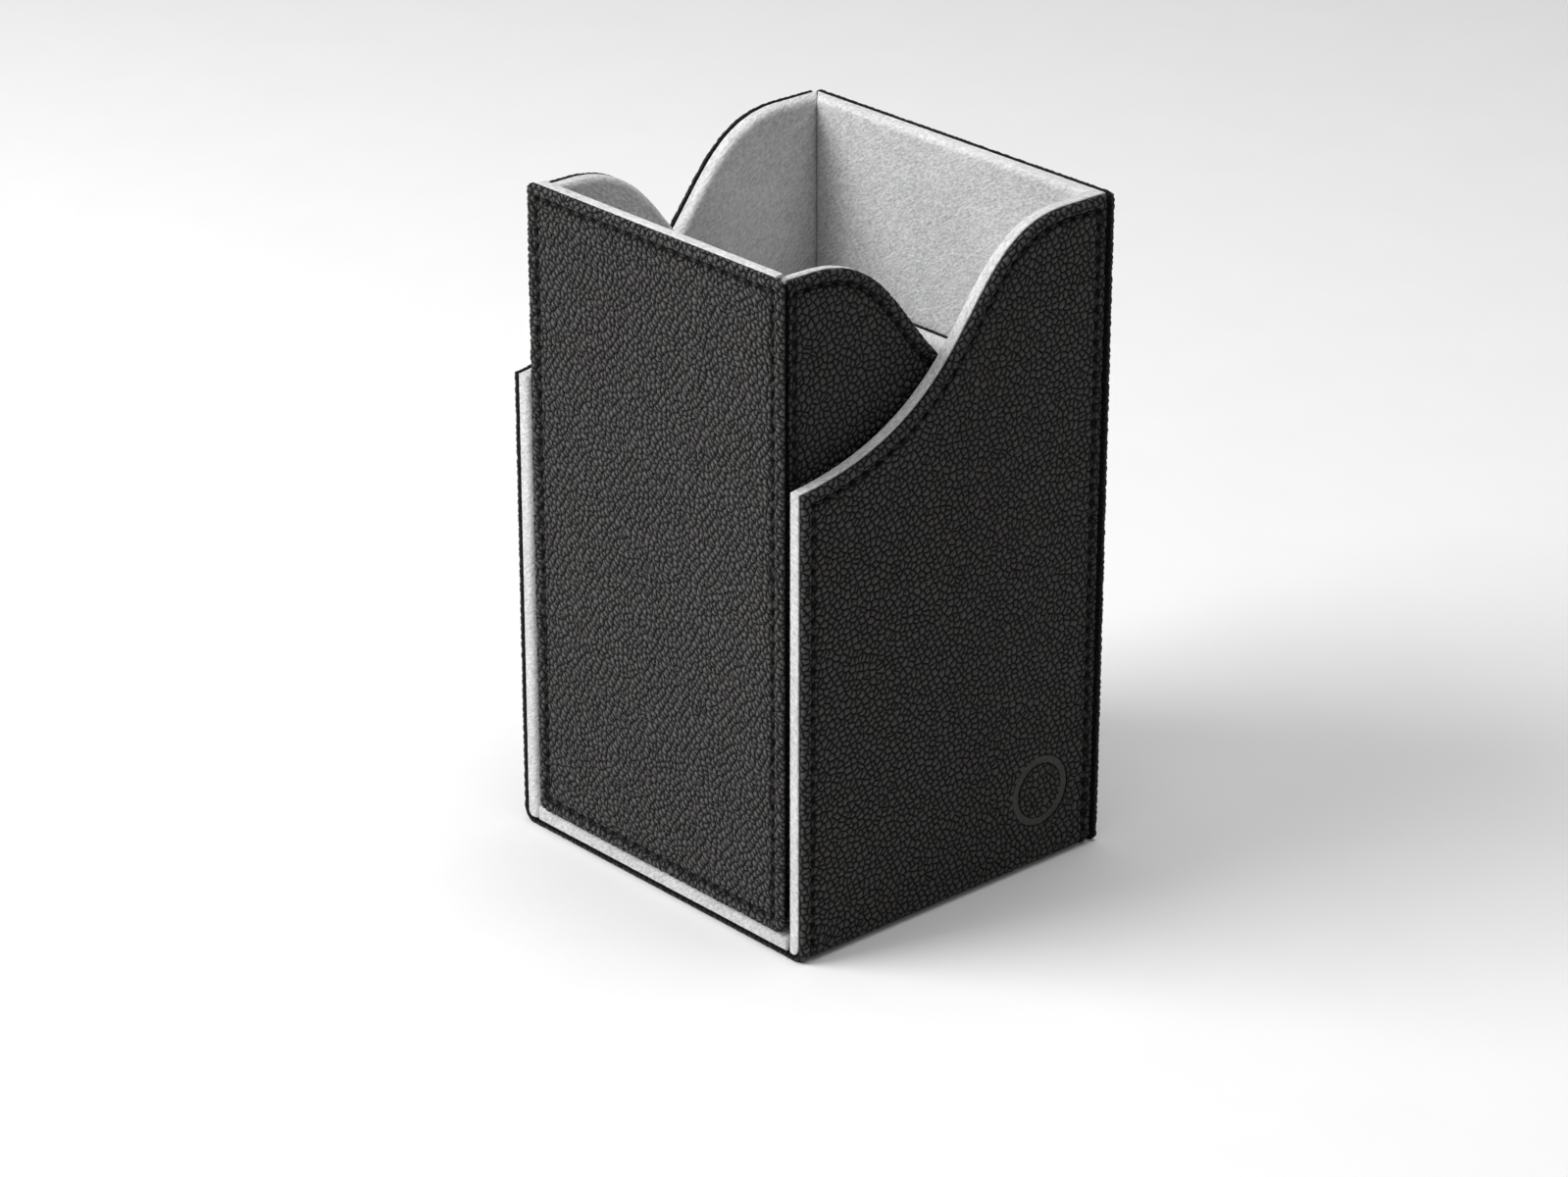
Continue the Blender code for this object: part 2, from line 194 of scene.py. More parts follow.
class Graph:
    """Short calls that build a node tree. Materials and geometry nodes share them."""

    def __init__(self, tree):
        self.tree = tree

    def add(self, kind, inputs=None, **settings):
        node = self.tree.nodes.new(kind)
        for name, value in settings.items():
            setattr(node, name, value)
        for key, value in (inputs or {}).items():
            self.give(node.inputs[key], value)
        return node

    def give(self, socket, value):
        if isinstance(value, bpy.types.NodeSocket):
            self.tree.links.new(value, socket)
        else:
            socket.default_value = value

    def math(self, operation, *values, clamp=False):
        node = self.add("ShaderNodeMath", operation=operation, use_clamp=clamp)
        for socket, value in zip(node.inputs, values):
            self.give(socket, value)
        return node.outputs[0]

    def vector(self, operation, *values):
        node = self.add("ShaderNodeVectorMath", operation=operation)
        for socket, value in zip(node.inputs, values):
            self.give(socket, value)
        return node.outputs["Value" if operation in ("DOT_PRODUCT", "DISTANCE") else "Vector"]

    def scaled(self, vector, factor):
        return self.vector("MULTIPLY", vector, (factor, factor, factor))

    def combine(self, x, y, z=0.0):
        return self.add("ShaderNodeCombineXYZ", {"X": x, "Y": y, "Z": z}).outputs[0]

    def noise(self, vector, scale, detail=2.0, roughness=0.5):
        inputs = {"Vector": vector, "Scale": scale, "Detail": detail, "Roughness": roughness}
        return self.add("ShaderNodeTexNoise", inputs, noise_dimensions="3D")

    def spread(self, value, low, high, to_low=0.0, to_high=1.0):
        """value from low..high to to_low..to_high, eased at both ends."""
        inputs = {"Value": value, "From Min": low, "From Max": high, "To Min": to_low, "To Max": to_high}
        return self.add("ShaderNodeMapRange", inputs, interpolation_type="SMOOTHSTEP").outputs[0]

    def blend(self, factor, first, second):
        node = self.add("ShaderNodeMix", data_type="RGBA")
        sockets = [s for s in node.inputs if s.enabled]
        for socket, value in zip(sockets, (factor, first, second)):
            self.give(socket, value)
        return [s for s in node.outputs if s.enabled][0]


def pebbles(graph, sheet, grain):
    """(how far out of its valley from 0 to 1, the pebble's crown from 0 to 1, its random colour)."""
    turn = math.radians(grain.turn)
    cos, sin = math.cos(turn), math.sin(turn)
    along = graph.vector("DOT_PRODUCT", sheet, (cos / grain.along, sin / grain.along, 0.0))
    across = graph.vector("DOT_PRODUCT", sheet, (-sin / grain.across, cos / grain.across, 0.0))
    cells = graph.combine(along, across)
    drift = graph.noise(cells, 1.0 / grain.sway_size, detail=1.0).outputs["Color"]
    drift = graph.vector("SUBTRACT", drift, (0.5, 0.5, 0.5))
    place = graph.vector("ADD", cells, graph.scaled(drift, grain.sway * grain.sway_size))
    inputs = {"Vector": place, "Scale": 1.0, "Randomness": grain.jitter}
    edge = graph.add("ShaderNodeTexVoronoi", inputs, voronoi_dimensions="2D", feature="DISTANCE_TO_EDGE")
    cell = graph.add("ShaderNodeTexVoronoi", inputs, voronoi_dimensions="2D", feature="F1")
    rise = graph.math("DIVIDE", edge.outputs["Distance"], grain.valley, clamp=True)
    fall = graph.math("SUBTRACT", 1.0, rise)
    dome = graph.math("SUBTRACT", 1.0, graph.math("MULTIPLY", fall, fall))
    if grain.merging:
        joined = graph.noise(cells, 0.8, detail=1.0).outputs["Fac"]
        joined = graph.spread(joined, 0.46, 0.62, 0.0, grain.merging)
        dome = graph.math("ADD", dome, graph.math("MULTIPLY", joined, graph.math("SUBTRACT", 1.0, dome)))
    crown = graph.spread(cell.outputs["Distance"], 0.0, 0.75, 1.0, 0.0)
    return dome, crown, cell.outputs["Color"]


def displace(piece, height):
    """Moves the piece's points along their "out" vectors by what height(graph, sheet, position) gives."""
    tree = bpy.data.node_groups.new(f"{piece.name}_relief", "GeometryNodeTree")
    for direction in ("INPUT", "OUTPUT"):
        tree.interface.new_socket("Geometry", in_out=direction, socket_type="NodeSocketGeometry")
    graph = Graph(tree)

    def read(name, kind):
        node = graph.add("GeometryNodeInputNamedAttribute", {"Name": name}, data_type=kind)
        return [s for s in node.outputs if s.enabled][0]

    position = graph.add("GeometryNodeInputPosition").outputs[0]
    amount = height(graph, read("Sheet", "FLOAT_VECTOR"), position)
    free = graph.math("SUBTRACT", 1.0, read("pressed", "FLOAT"), clamp=True)
    amount = graph.math("MULTIPLY", amount, free)
    offset = graph.vector("MULTIPLY", read("out", "FLOAT_VECTOR"), graph.combine(amount, amount, amount))
    source = graph.add("NodeGroupInput").outputs[0]
    moved = graph.add("GeometryNodeSetPosition", {"Geometry": source, "Offset": offset}).outputs[0]
    target = graph.add("NodeGroupOutput")
    graph.give(target.inputs[0], moved)

    modifier = piece.modifiers.new("relief", "NODES")
    modifier.node_group = tree
    evaluated = piece.evaluated_get(bpy.context.evaluated_depsgraph_get())
    mesh = bpy.data.meshes.new_from_object(evaluated)
    piece.modifiers.clear()
    old = piece.data
    piece.data = mesh
    bpy.data.meshes.remove(old)
    mesh.name = piece.name
    mesh.attributes.remove(mesh.attributes["out"])


# ---- materials


def new_material(name):
    material = bpy.data.materials.new(name)
    material.use_nodes = True
    graph = Graph(material.node_tree)
    return material, graph, material.node_tree.nodes["Principled BSDF"]


def leatherette(name, grain, top, valley, roughness, ring=None):
    """Black pebbled leatherette: painted shade in the valleys, slightly polished tops, faint patches of
    colour.

    valley is the colour of the painted shade in the valleys between the pebbles, and ring is the place on
    the sheet of the middle of a pressed flat ring.
    """
    material, graph, shader = new_material(name)
    sheet = graph.add("ShaderNodeUVMap", uv_map="Sheet").outputs[0]
    pressed = graph.add("ShaderNodeAttribute", attribute_name="pressed").outputs["Fac"]
    dark = graph.add("ShaderNodeAttribute", attribute_name="dark").outputs["Fac"]
    dome, crown, chance = pebbles(graph, sheet, grain)
    dome = graph.math("MAXIMUM", dome, graph.spread(pressed, 0.2, 0.9, 0.0, 0.9))
    height = graph.math("ADD", dome, graph.math("MULTIPLY", crown, CROWN))
    if ring:
        away = graph.vector("DISTANCE", sheet, ring)
        from_middle = graph.math("ABSOLUTE", graph.math("SUBTRACT", away, RING_RADIUS - RING_BAND / 2))
        band = graph.spread(from_middle, RING_BAND / 2 - RING_STEP, RING_BAND / 2 + RING_STEP, 1.0, 0.0)
        # painted shade: along the ring's two steps the colour is pushed towards the valley colour
        step = graph.math("ABSOLUTE", graph.math("SUBTRACT", from_middle, RING_BAND / 2))
        step = graph.spread(step, 0.0, 2.2 * RING_STEP, 1.0, 0.0)
        dome = graph.math("MAXIMUM", dome, graph.math("MULTIPLY", band, RING_FLAT))
        dome = graph.math("SUBTRACT", dome, step, clamp=True)
        flat = graph.math("MULTIPLY", height, graph.math("SUBTRACT", 1.0, band))
        height = graph.math("SUBTRACT", flat, graph.math("MULTIPLY", band, RING_SUNK))
    # painted shade: towards a valley the colour goes from the top colour to the near-black valley colour
    shade = graph.blend(graph.math("POWER", dome, VALLEY_SHADE_POWER), (*valley, 1.0), (*top, 1.0))
    # painted shade held in a mesh attribute: in the seams, on cut edges, beside grooves and under the box
    unshaded_share = graph.math("SUBTRACT", 1.0, graph.math("MULTIPLY", dark, SHADE_PAINT_STRENGTH), clamp=True)
    shade = graph.vector("MULTIPLY", shade, graph.combine(unshaded_share, unshaded_share, unshaded_share))

    millimetres = graph.scaled(sheet, 1000.0)
    patch = graph.noise(millimetres, 0.05, detail=3.0).outputs["Color"]
    tint = graph.vector("SUBTRACT", patch, (0.5, 0.5, 0.5))
    tint = graph.vector("ADD", graph.scaled(tint, PATCH_TINT), (1.0, 1.0, 1.0))
    single = graph.scaled(graph.vector("SUBTRACT", chance, (0.5, 0.5, 0.5)), PEBBLE_TINT)
    tint = graph.vector("ADD", tint, single)
    graph.give(shader.inputs["Base Color"], graph.vector("MULTIPLY", shade, tint))

    wear = graph.noise(millimetres, 0.9, detail=4.0, roughness=0.65).outputs["Fac"]
    low = graph.math("SUBTRACT", 1.0, dome)
    rough = graph.math("ADD", roughness - WEAR_ROUGH / 2, graph.math("MULTIPLY", wear, WEAR_ROUGH))
    rough = graph.math("ADD", rough, graph.math("MULTIPLY", low, VALLEY_ROUGH))
    rough = graph.math("ADD", rough, graph.math("MULTIPLY", dark, SEAM_ROUGH), clamp=True)
    graph.give(shader.inputs["Roughness"], rough)
    shader.inputs["Specular IOR Level"].default_value = 0.26

    creases = graph.noise(millimetres, 4.2, detail=3.0, roughness=0.6).outputs["Fac"]
    lift = graph.math("ADD", height, graph.math("MULTIPLY", creases, CREASE))
    bump = graph.add("ShaderNodeBump", {"Height": lift, "Distance": grain.relief * BUMP, "Strength": 1.0})
    graph.give(shader.inputs["Normal"], bump.outputs[0])
    return material


def microfibre(name, colour):
    """Pale brushed microfibre: nap lying in soft diagonal strokes, with short fibres."""
    material, graph, shader = new_material(name)
    sheet = graph.add("ShaderNodeUVMap", uv_map="Sheet").outputs[0]
    millimetres = graph.scaled(sheet, 1000.0)
    turn = math.radians(35.0)
    along = graph.vector("DOT_PRODUCT", millimetres, (math.cos(turn), math.sin(turn), 0.0))
    across = graph.vector("DOT_PRODUCT", millimetres, (-math.sin(turn), math.cos(turn), 0.0))
    brushed = graph.combine(graph.math("MULTIPLY", along, 0.5), across)
    strokes = graph.noise(brushed, 0.55, detail=5.0, roughness=0.62).outputs["Fac"]
    fibres = graph.noise(brushed, 1.8, detail=3.0, roughness=0.75).outputs["Fac"]
    clouds = graph.noise(millimetres, 0.045, detail=2.0).outputs["Fac"]
    tone = graph.math("ADD", graph.spread(strokes, 0.3, 0.7, -0.09, 0.09), 1.0)
    tone = graph.math("ADD", tone, graph.spread(fibres, 0.34, 0.66, -0.22, 0.22))
    tone = graph.math("ADD", tone, graph.spread(clouds, 0.3, 0.7, -0.06, 0.06))
    base = graph.vector("MULTIPLY", colour, graph.combine(tone, tone, tone))
    graph.give(shader.inputs["Base Color"], base)
    graph.give(shader.inputs["Roughness"], graph.math("ADD", 0.86, graph.math("MULTIPLY", fibres, 0.12)))
    shader.inputs["Specular IOR Level"].default_value = 0.12
    shader.inputs["Sheen Weight"].default_value = 0.25
    shader.inputs["Sheen Roughness"].default_value = 0.45
    height = graph.math("ADD", fibres, graph.math("MULTIPLY", strokes, 0.8))
    bump = graph.add("ShaderNodeBump", {"Height": height, "Distance": 0.00030, "Strength": 0.9})
    graph.give(shader.inputs["Normal"], bump.outputs[0])
    return material


def sewing_thread(name):
    """Black waxed thread: two twisted plies with a little lustre."""
    material, graph, shader = new_material(name)
    sheet = graph.add("ShaderNodeUVMap", uv_map="Sheet").outputs[0]
    millimetres = graph.scaled(sheet, 1000.0)
    fluff = graph.noise(millimetres, 3.0, detail=3.0).outputs["Fac"]
    shade = graph.blend(fluff, (0.012, 0.012, 0.012, 1), (0.034, 0.033, 0.032, 1))
    graph.give(shader.inputs["Base Color"], shade)
    graph.give(shader.inputs["Roughness"], graph.math("ADD", 0.55, graph.math("MULTIPLY", fluff, 0.2)))
    shader.inputs["Specular IOR Level"].default_value = 0.22
    bump = graph.add("ShaderNodeBump", {"Height": fluff, "Distance": 0.00005, "Strength": 0.6})
    graph.give(shader.inputs["Normal"], bump.outputs[0])
    return material


def dyed_board(name):
    """Black-dyed board with pressed fibres and paler specks."""
    material, graph, shader = new_material(name)
    place = graph.scaled(graph.add("ShaderNodeTexCoord").outputs["Object"], 1000.0)
    pulp = graph.noise(place, 0.7, detail=5.0, roughness=0.7).outputs["Fac"]
    specks = graph.spread(graph.noise(place, 2.6, detail=2.0).outputs["Fac"], 0.62, 0.72)
    shade = graph.blend(pulp, (0.010, 0.010, 0.010, 1.0), (0.024, 0.023, 0.022, 1.0))
    shade = graph.blend(specks, shade, (0.050, 0.048, 0.045, 1.0))
    graph.give(shader.inputs["Base Color"], shade)
    graph.give(shader.inputs["Roughness"], graph.math("ADD", 0.82, graph.math("MULTIPLY", pulp, 0.15)))
    bump = graph.add("ShaderNodeBump", {"Height": pulp, "Distance": 0.0002, "Strength": 0.5})
    graph.give(shader.inputs["Normal"], bump.outputs[0])
    return material


def plated_magnet(name):
    """Nickel plate with fine scratches."""
    material, graph, shader = new_material(name)
    place = graph.scaled(graph.add("ShaderNodeTexCoord").outputs["Object"], 1000.0)
    stretched = graph.vector("MULTIPLY", place, (1.0, 0.25, 4.0))
    scratches = graph.noise(stretched, 2.0, detail=4.0).outputs["Fac"]
    shade = graph.blend(scratches, (0.52, 0.51, 0.49, 1), (0.68, 0.67, 0.65, 1))
    graph.give(shader.inputs["Base Color"], shade)
    graph.give(shader.inputs["Roughness"], graph.math("ADD", 0.2, graph.math("MULTIPLY", scratches, 0.25)))
    shader.inputs["Metallic"].default_value = 1.0
    return material


def studio_floor(name):
    """Matt white paper."""
    material, graph, shader = new_material(name)
    place = graph.add("ShaderNodeTexCoord").outputs["Object"]
    paper = graph.noise(place, 40.0, detail=3.0).outputs["Fac"]
    graph.give(shader.inputs["Base Color"], graph.blend(paper, (0.91, 0.91, 0.91, 1), (0.94, 0.94, 0.94, 1)))
    graph.give(shader.inputs["Roughness"], graph.math("ADD", 0.8, graph.math("MULTIPLY", paper, 0.1)))
    shader.inputs["Specular IOR Level"].default_value = 0.2
    return material


# ---- the two boxes, from the frame


class Box:
    """Sizes of one box in its own frame, read from its CAD nodes.

    high and low name the walls that close those ends, and low is None where that end is open.
    """

    def __init__(self, name, high, low, turned):
        self.name, self.low, self.turned = name, low, turned
        self.body = {"outer": "outer_shell", "inner": "inner_box"}[name]
        self.sign = -1.0 if turned else 1.0
        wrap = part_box(f"{name}_wrap")
        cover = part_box(f"{name}_{high}_cover")
        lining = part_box(f"{name}_left_lining")
        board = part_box(f"{name}_left_board")
        floor_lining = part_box(f"{name}_floor_lining")
        high_y = cover[0].y if turned else cover[1].y
        low_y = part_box(f"{name}_{low}_cover")[1].y if low else wrap[0].y
        self.middle = Vector(((wrap[0].x + wrap[1].x) / 2, (high_y + low_y) / 2, wrap[0].z))
        self.half = (wrap[1].x - wrap[0].x) / 2
        self.reach = abs(high_y - low_y) / 2
        self.height = cover[1].z - cover[0].z
        self.side_height = wrap[1].z - wrap[0].z
        self.low_height = self.find_low_height(low, low_y)
        self.skin = cover[1].y - cover[0].y
        self.skin_round = self.skin * SKIN_ROUND
        self.skin_inside = lining[0].x - wrap[0].x
        self.wall = lining[1].x - wrap[0].x
        self.board_inside = board[1].x - wrap[0].x + GAP
        self.lining = self.wall - self.board_inside
        self.floor = floor_lining[1].z - wrap[0].z
        self.cover_half = (cover[1].x - cover[0].x) / 2
        self.sample_curve()

    def find_low_height(self, low, low_y):
        """Height at the low end: of its wall, or of the wrap's highest points there."""
        if low:
            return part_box(f"{self.name}_{low}_cover")[1].z - self.middle.z
        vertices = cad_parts[f"{self.name}_wrap"].data.vertices
        return max(v.co.z for v in vertices if abs(v.co.y - low_y) < GAP) - self.middle.z

    def sample_curve(self):
        """The top of a side wall: a Bezier from the low end up to the high part."""
        shift = CURVE_SHIFT[self.name]
        handles = np.array([
            (-self.reach, self.low_height),
            (CURVE_LOW_HANDLE + shift, self.low_height + CURVE_LOW_RISE),
            (CURVE_HIGH_HANDLE + shift, self.side_height),
            (CURVE_FLAT_FROM + shift, self.side_height),
        ])
        t = np.linspace(0.0, 1.0, CURVE_SAMPLES)[:, None]
        weights = np.hstack([(1 - t) ** 3, 3 * (1 - t) ** 2 * t, 3 * (1 - t) * t ** 2, t ** 3])
        self.curve_y, self.curve_z = (weights @ handles).T
        self.curve_slope = np.gradient(self.curve_z, self.curve_y)

    def top(self, y, inset=0.0):
        """Height of the side wall's top at y, moved in by inset at right angles to the curve."""
        slope = np.interp(y, self.curve_y, self.curve_slope)
        return np.interp(y, self.curve_y, self.curve_z) - inset * np.hypot(1.0, slope)

    def side_name(self, side):
        """left or right as seen from the front of the whole object, for side -1 or +1 in X."""
        return "right" if (side > 0) != self.turned else "left"

    def world(self, points):
        """Points of the box's own frame in the row frame."""
        turned = points * np.array((self.sign, self.sign, 1.0))
        return turned + np.array(self.middle)


# ---- sheets


def spaced(start, end, step, margin=0.0, fine=None):
    """Positions from start to end, closer together within margin of either end."""
    edge = np.linspace(0.0, margin, round(margin / fine) + 1)[:-1] if margin else np.zeros(0)
    count = max(2, round((end - start - 2 * margin) / step) + 1)
    middle = np.linspace(start + margin, end - margin, count)
    return np.concatenate([start + edge, middle, end - edge[::-1]])


def around(rows, cols):
    """Row and column of each lattice point round its border, and which of the four sides follows it."""
    r = np.concatenate([np.zeros(cols - 1, int), np.arange(rows - 1),
                        np.full(cols - 1, rows - 1), np.arange(rows - 1, 0, -1)])
    c = np.concatenate([np.arange(cols - 1), np.full(rows - 1, cols - 1),
                        np.arange(cols - 1, 0, -1), np.zeros(rows - 1, int)])
    side = np.repeat(np.arange(4), [cols - 1, rows - 1, cols - 1, rows - 1])
    return r, c, side


def outward(points, side, rimmed):
    """For each border point, the flat vector that moves both neighbouring edges out by one unit."""
    step = np.roll(points, -1, axis=0) - points
    step /= np.linalg.norm(step, axis=1, keepdims=True)
    x, y = points.T
    turning = np.sum(x * np.roll(y, -1) - np.roll(x, -1) * y)
    normal = np.stack([step[:, 1], -step[:, 0]], axis=1) * np.sign(turning)
    after = normal * np.array(rimmed, float)[side][:, None]
    before = np.roll(after, 1, axis=0)
    total = after + before
    carries = np.linalg.norm(total, axis=1) > 0.0
    return total / (1.0 + np.sum(after * before, axis=1))[:, None], carries


QUARTER = [math.radians(angle) for angle in (18, 36, 54, 72, 90)]


def skin_edge(thickness, radius):
    """Edge of a skin: (distance out, depth, share of the face's relief that it keeps)."""
    back = SKIN_BACK_ROUND
    points = [(radius * math.sin(t), radius * (1 - math.cos(t)), math.cos(t / 1.6)) for t in QUARTER]
    points += [(radius, thickness - back, SKIN_EDGE_RELIEF)]
    points += [(radius - 0.3 * back, thickness - 0.3 * back, 0.0)]
    return [*points, (radius - back, thickness, 0.0), (0.0, thickness, 0.0)]


def rim_edge(thickness, across):
    """Rim of a lining: it rolls over the top of the wall and turns down at the far side."""
    points = [(RIM_ROLL * math.sin(t), RIM_ROLL * (1 - math.cos(t)), 1.0) for t in QUARTER]
    points += [(RIM_ROLL, float(depth), 1.0) for depth in np.linspace(RIM_ROLL, across - RIM_CORNER, 5)[1:]]
    points += [(RIM_ROLL - RIM_CORNER * (1 - math.cos(t)), across - RIM_CORNER * (1 - math.sin(t)), 0.7)
               for t in QUARTER]
    under = RIM_ROLL - thickness
    return [*points, (under, across, 0.0), (under, thickness, 0.0), (0.0, thickness, 0.0)]


def back_cells(rows, cols):
    """Coarse cells of a sheet's back: for each, the lattice points round it, fine ones on the border."""
    row_lines = sorted({*range(0, rows - 1, BACK_STEP), rows - 1})
    col_lines = sorted({*range(0, cols - 1, BACK_STEP), cols - 1})
    cells = []
    for r0, r1 in zip(row_lines, row_lines[1:]):
        for c0, c1 in zip(col_lines, col_lines[1:]):
            top = [(r0, c) for c in (range(c0, c1) if r0 == 0 else [c0])]
            right = [(r, c1) for r in (range(r0, r1) if c1 == cols - 1 else [r0])]
            bottom = [(r1, c) for c in (range(c1, c0, -1) if r1 == rows - 1 else [c1])]
            left = [(r, c0) for r in (range(r1, r0, -1) if c0 == 0 else [r1])]
            cells.append(top + right + bottom + left)
    return cells


def sheet_mesh(name, box, a, b, surface, thickness, edge, rimmed, rim_surface=None, press=None,
               dark_from=WRAP_SHADE_FROM):
    """A closed sheet: a face on the lattice (a, b), an edge swept round it, and a coarse back.

    Its edge is painted with shade, for the gap beside it, from the given share of its thickness to its back.
    """
    rim_surface = rim_surface or surface
    rows, cols = a.shape
    depth, pressed, dark = press(a, b) if press else np.zeros((3, rows, cols))
    face = surface(a, b, depth)
    out = surface(a, b, depth - GAP) - face
    out /= np.linalg.norm(out, axis=2, keepdims=True)

    r, c, side = around(rows, cols)
    count = len(r)
    flat = np.stack([a[r, c], b[r, c]], axis=1)
    outer, carries = outward(flat, side, rimmed)
    points, outs = [face.reshape(-1, 3)], [out.reshape(-1, 3)]
    sheets = [np.stack([a.ravel(), b.ravel()], axis=1)]
    presses, painted_shades = [pressed.ravel()], [dark.ravel()]
    sideways = surface(*(flat + outer * GAP).T, depth[r, c]) - face[r, c]
    sideways /= np.maximum(np.linalg.norm(sideways, axis=1, keepdims=True), GAP / 100)
    walked, last = 0.0, (0.0, 0.0)
    for k, (offset, down, keep) in enumerate(edge, 1):
        share = k / len(edge)
        walked += math.dist(last, (offset, down))
        last = (offset, down)
        here = flat + outer * offset
        below = np.where(carries, down, thickness * share) + depth[r, c] * (1 - share)
        points.append(rim_surface(here[:, 0], here[:, 1], below))
        lean = min(1.0, down / thickness)
        direction = out[r, c] * (1 - lean) + sideways * lean
        outs.append(direction * keep * carries[:, None])
        sheets.append(flat + outer * walked)
        presses.append(pressed[r, c] * (1 - share))
        # painted shade on the cut edge, where it faces the gap to the next part
        edge_shade_share = EDGE_SHADE_RISE * (down / thickness - dark_from)
        painted_shades.append(np.full(count, max(0.0, min(1.0, edge_shade_share))))

    cells = back_cells(rows, cols)
    station = np.full((rows, cols), -1)
    station[r, c] = np.arange(count)
    inside = sorted({point for cell in cells for point in cell if station[point] < 0})
    ids = {point: rows * cols + count * len(edge) + i for i, point in enumerate(inside)}
    if inside:
        br, bc = np.array(inside).T
        points.append(surface(a[br, bc], b[br, bc], thickness))
        outs.append(np.zeros((len(inside), 3)))
        sheets.append(np.stack([a[br, bc], b[br, bc]], axis=1))
        presses.append(np.zeros(len(inside)))
        painted_shades.append(np.zeros(len(inside)))

    index = np.arange(rows * cols).reshape(rows, cols)
    corners = [index[:-1, :-1], index[:-1, 1:], index[1:, 1:], index[1:, :-1]]
    quads = [np.stack(corners, axis=-1).reshape(-1, 4)]
    ring = index[r, c]
    for k in range(len(edge)):
        following = rows * cols + count * k + np.arange(count)
        quads.append(np.stack([np.roll(ring, -1), ring, following, np.roll(following, -1)], axis=1))
        ring = following
    faces = np.concatenate(quads).tolist()
    for cell in cells:
        faces.append([int(ring[station[p]]) if station[p] >= 0 else ids[p] for p in reversed(cell)])

    first = face[1, 1] - face[0, 0]
    crossed = np.cross(face[0, 1] - face[0, 0], first)
    if crossed @ out[0, 0] < 0:
        faces = [face_points[::-1] for face_points in faces]
    values = {"pressed": np.concatenate(presses), "dark": np.concatenate(painted_shades)}
    return build(name, box, np.concatenate(points), faces, np.concatenate(sheets),
                 np.concatenate(outs), values)


def build(name, box, points, faces, sheet, outs=None, values=None):
    """A mesh object in the row frame with its flat coordinates as the UV map "Sheet"."""
    mesh = bpy.data.meshes.new(name)
    mesh.from_pydata(box.world(points).tolist(), [], faces)
    corners = np.zeros(len(mesh.loops), np.int32)
    mesh.loops.foreach_get("vertex_index", corners)
    layer = mesh.uv_layers.new(name="Sheet")
    layer.uv.foreach_set("vector", sheet[corners].astype(np.float32).ravel())
    if outs is not None:
        turned = outs * np.array((box.sign, box.sign, 1.0))
        mesh.attributes.new("out", "FLOAT_VECTOR", "POINT").data.foreach_set(
            "vector", turned.astype(np.float32).ravel())
        for key, value in values.items():
            mesh.attributes.new(key, "FLOAT", "POINT").data.foreach_set("value", value.astype(np.float32))
    mesh.shade_smooth()
    piece = bpy.data.objects.new(name, mesh)
    bpy.context.scene.collection.objects.link(piece)
    return piece


def finish_piece(piece, box, node, material):
    piece.data.materials.clear()
    piece.data.materials.append(material)
    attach(piece, box.body)
    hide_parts(node)


# ---- surfaces


def strip_surface(box):
    """The wrap: a runs along Y, and b from the middle of the floor round the corner and up a side."""
    flat = box.half - WRAP_CORNER

    def surface(a, b, depth):
        far = np.abs(b)
        turn = np.clip((far - flat) / WRAP_CORNER, 0.0, math.pi / 2)
        rise = np.maximum(far - flat - WRAP_CORNER * math.pi / 2, 0.0)
        x = np.minimum(far, flat) + (WRAP_CORNER - depth) * np.sin(turn)
        z = WRAP_CORNER - (WRAP_CORNER - depth) * np.cos(turn) + rise
        return np.stack([np.sign(b) * x, a + 0.0 * b, z], axis=-1)

    return surface


def strip_length(box, z):
    """How far round the strip the height z lies, from the middle of the floor."""
    return box.half - WRAP_CORNER + WRAP_CORNER * math.pi / 2 + (z - WRAP_CORNER)


def end_surface(box, end, inset):
    """An end wall, a along X and b up, with its face at this inset and its depth going outwards if < 0."""
    def surface(a, b, depth):
        y = end * (box.reach - inset(depth))
        return np.stack([a + 0.0 * b, y + 0.0 * a, b + 0.0 * a], axis=-1)

    return surface


# ---- seams


def run_points(points):
    """A polyline with its lengths, cut into whole stitches."""
    points = np.array(points, float)
    lengths = np.concatenate([[0.0], np.cumsum(np.linalg.norm(np.diff(points, axis=0), axis=1))])
    return points, lengths, max(1, round(lengths[-1] / STITCH_PITCH))


def side_runs(box, side, start, end):
    """Sewn lines of one side of a wrap: up the low edge, along the curve and down the high edge."""
    near, far = start + SEAM_INSET, end - SEAM_INSET
    below = box.half - WRAP_CORNER - 0.001
    y = np.linspace(near, far, SEAM_SAMPLES)
    curve = [(yy, side * strip_length(box, box.top(yy, SEAM_INSET))) for yy in y]
    return [
        run_points([(near, side * below), curve[0]]),
        run_points(curve),
        run_points([curve[-1], (far, side * below)]),
    ]


def cover_runs(half, height):
    """Sewn lines right round a cover."""
    x, low, high = half - SEAM_INSET, SEAM_INSET, height - SEAM_INSET
    corners = [(-x, low), (x, low), (x, high), (-x, high)]
    return [run_points([corners[i], corners[(i + 1) % 4]]) for i in range(4)]


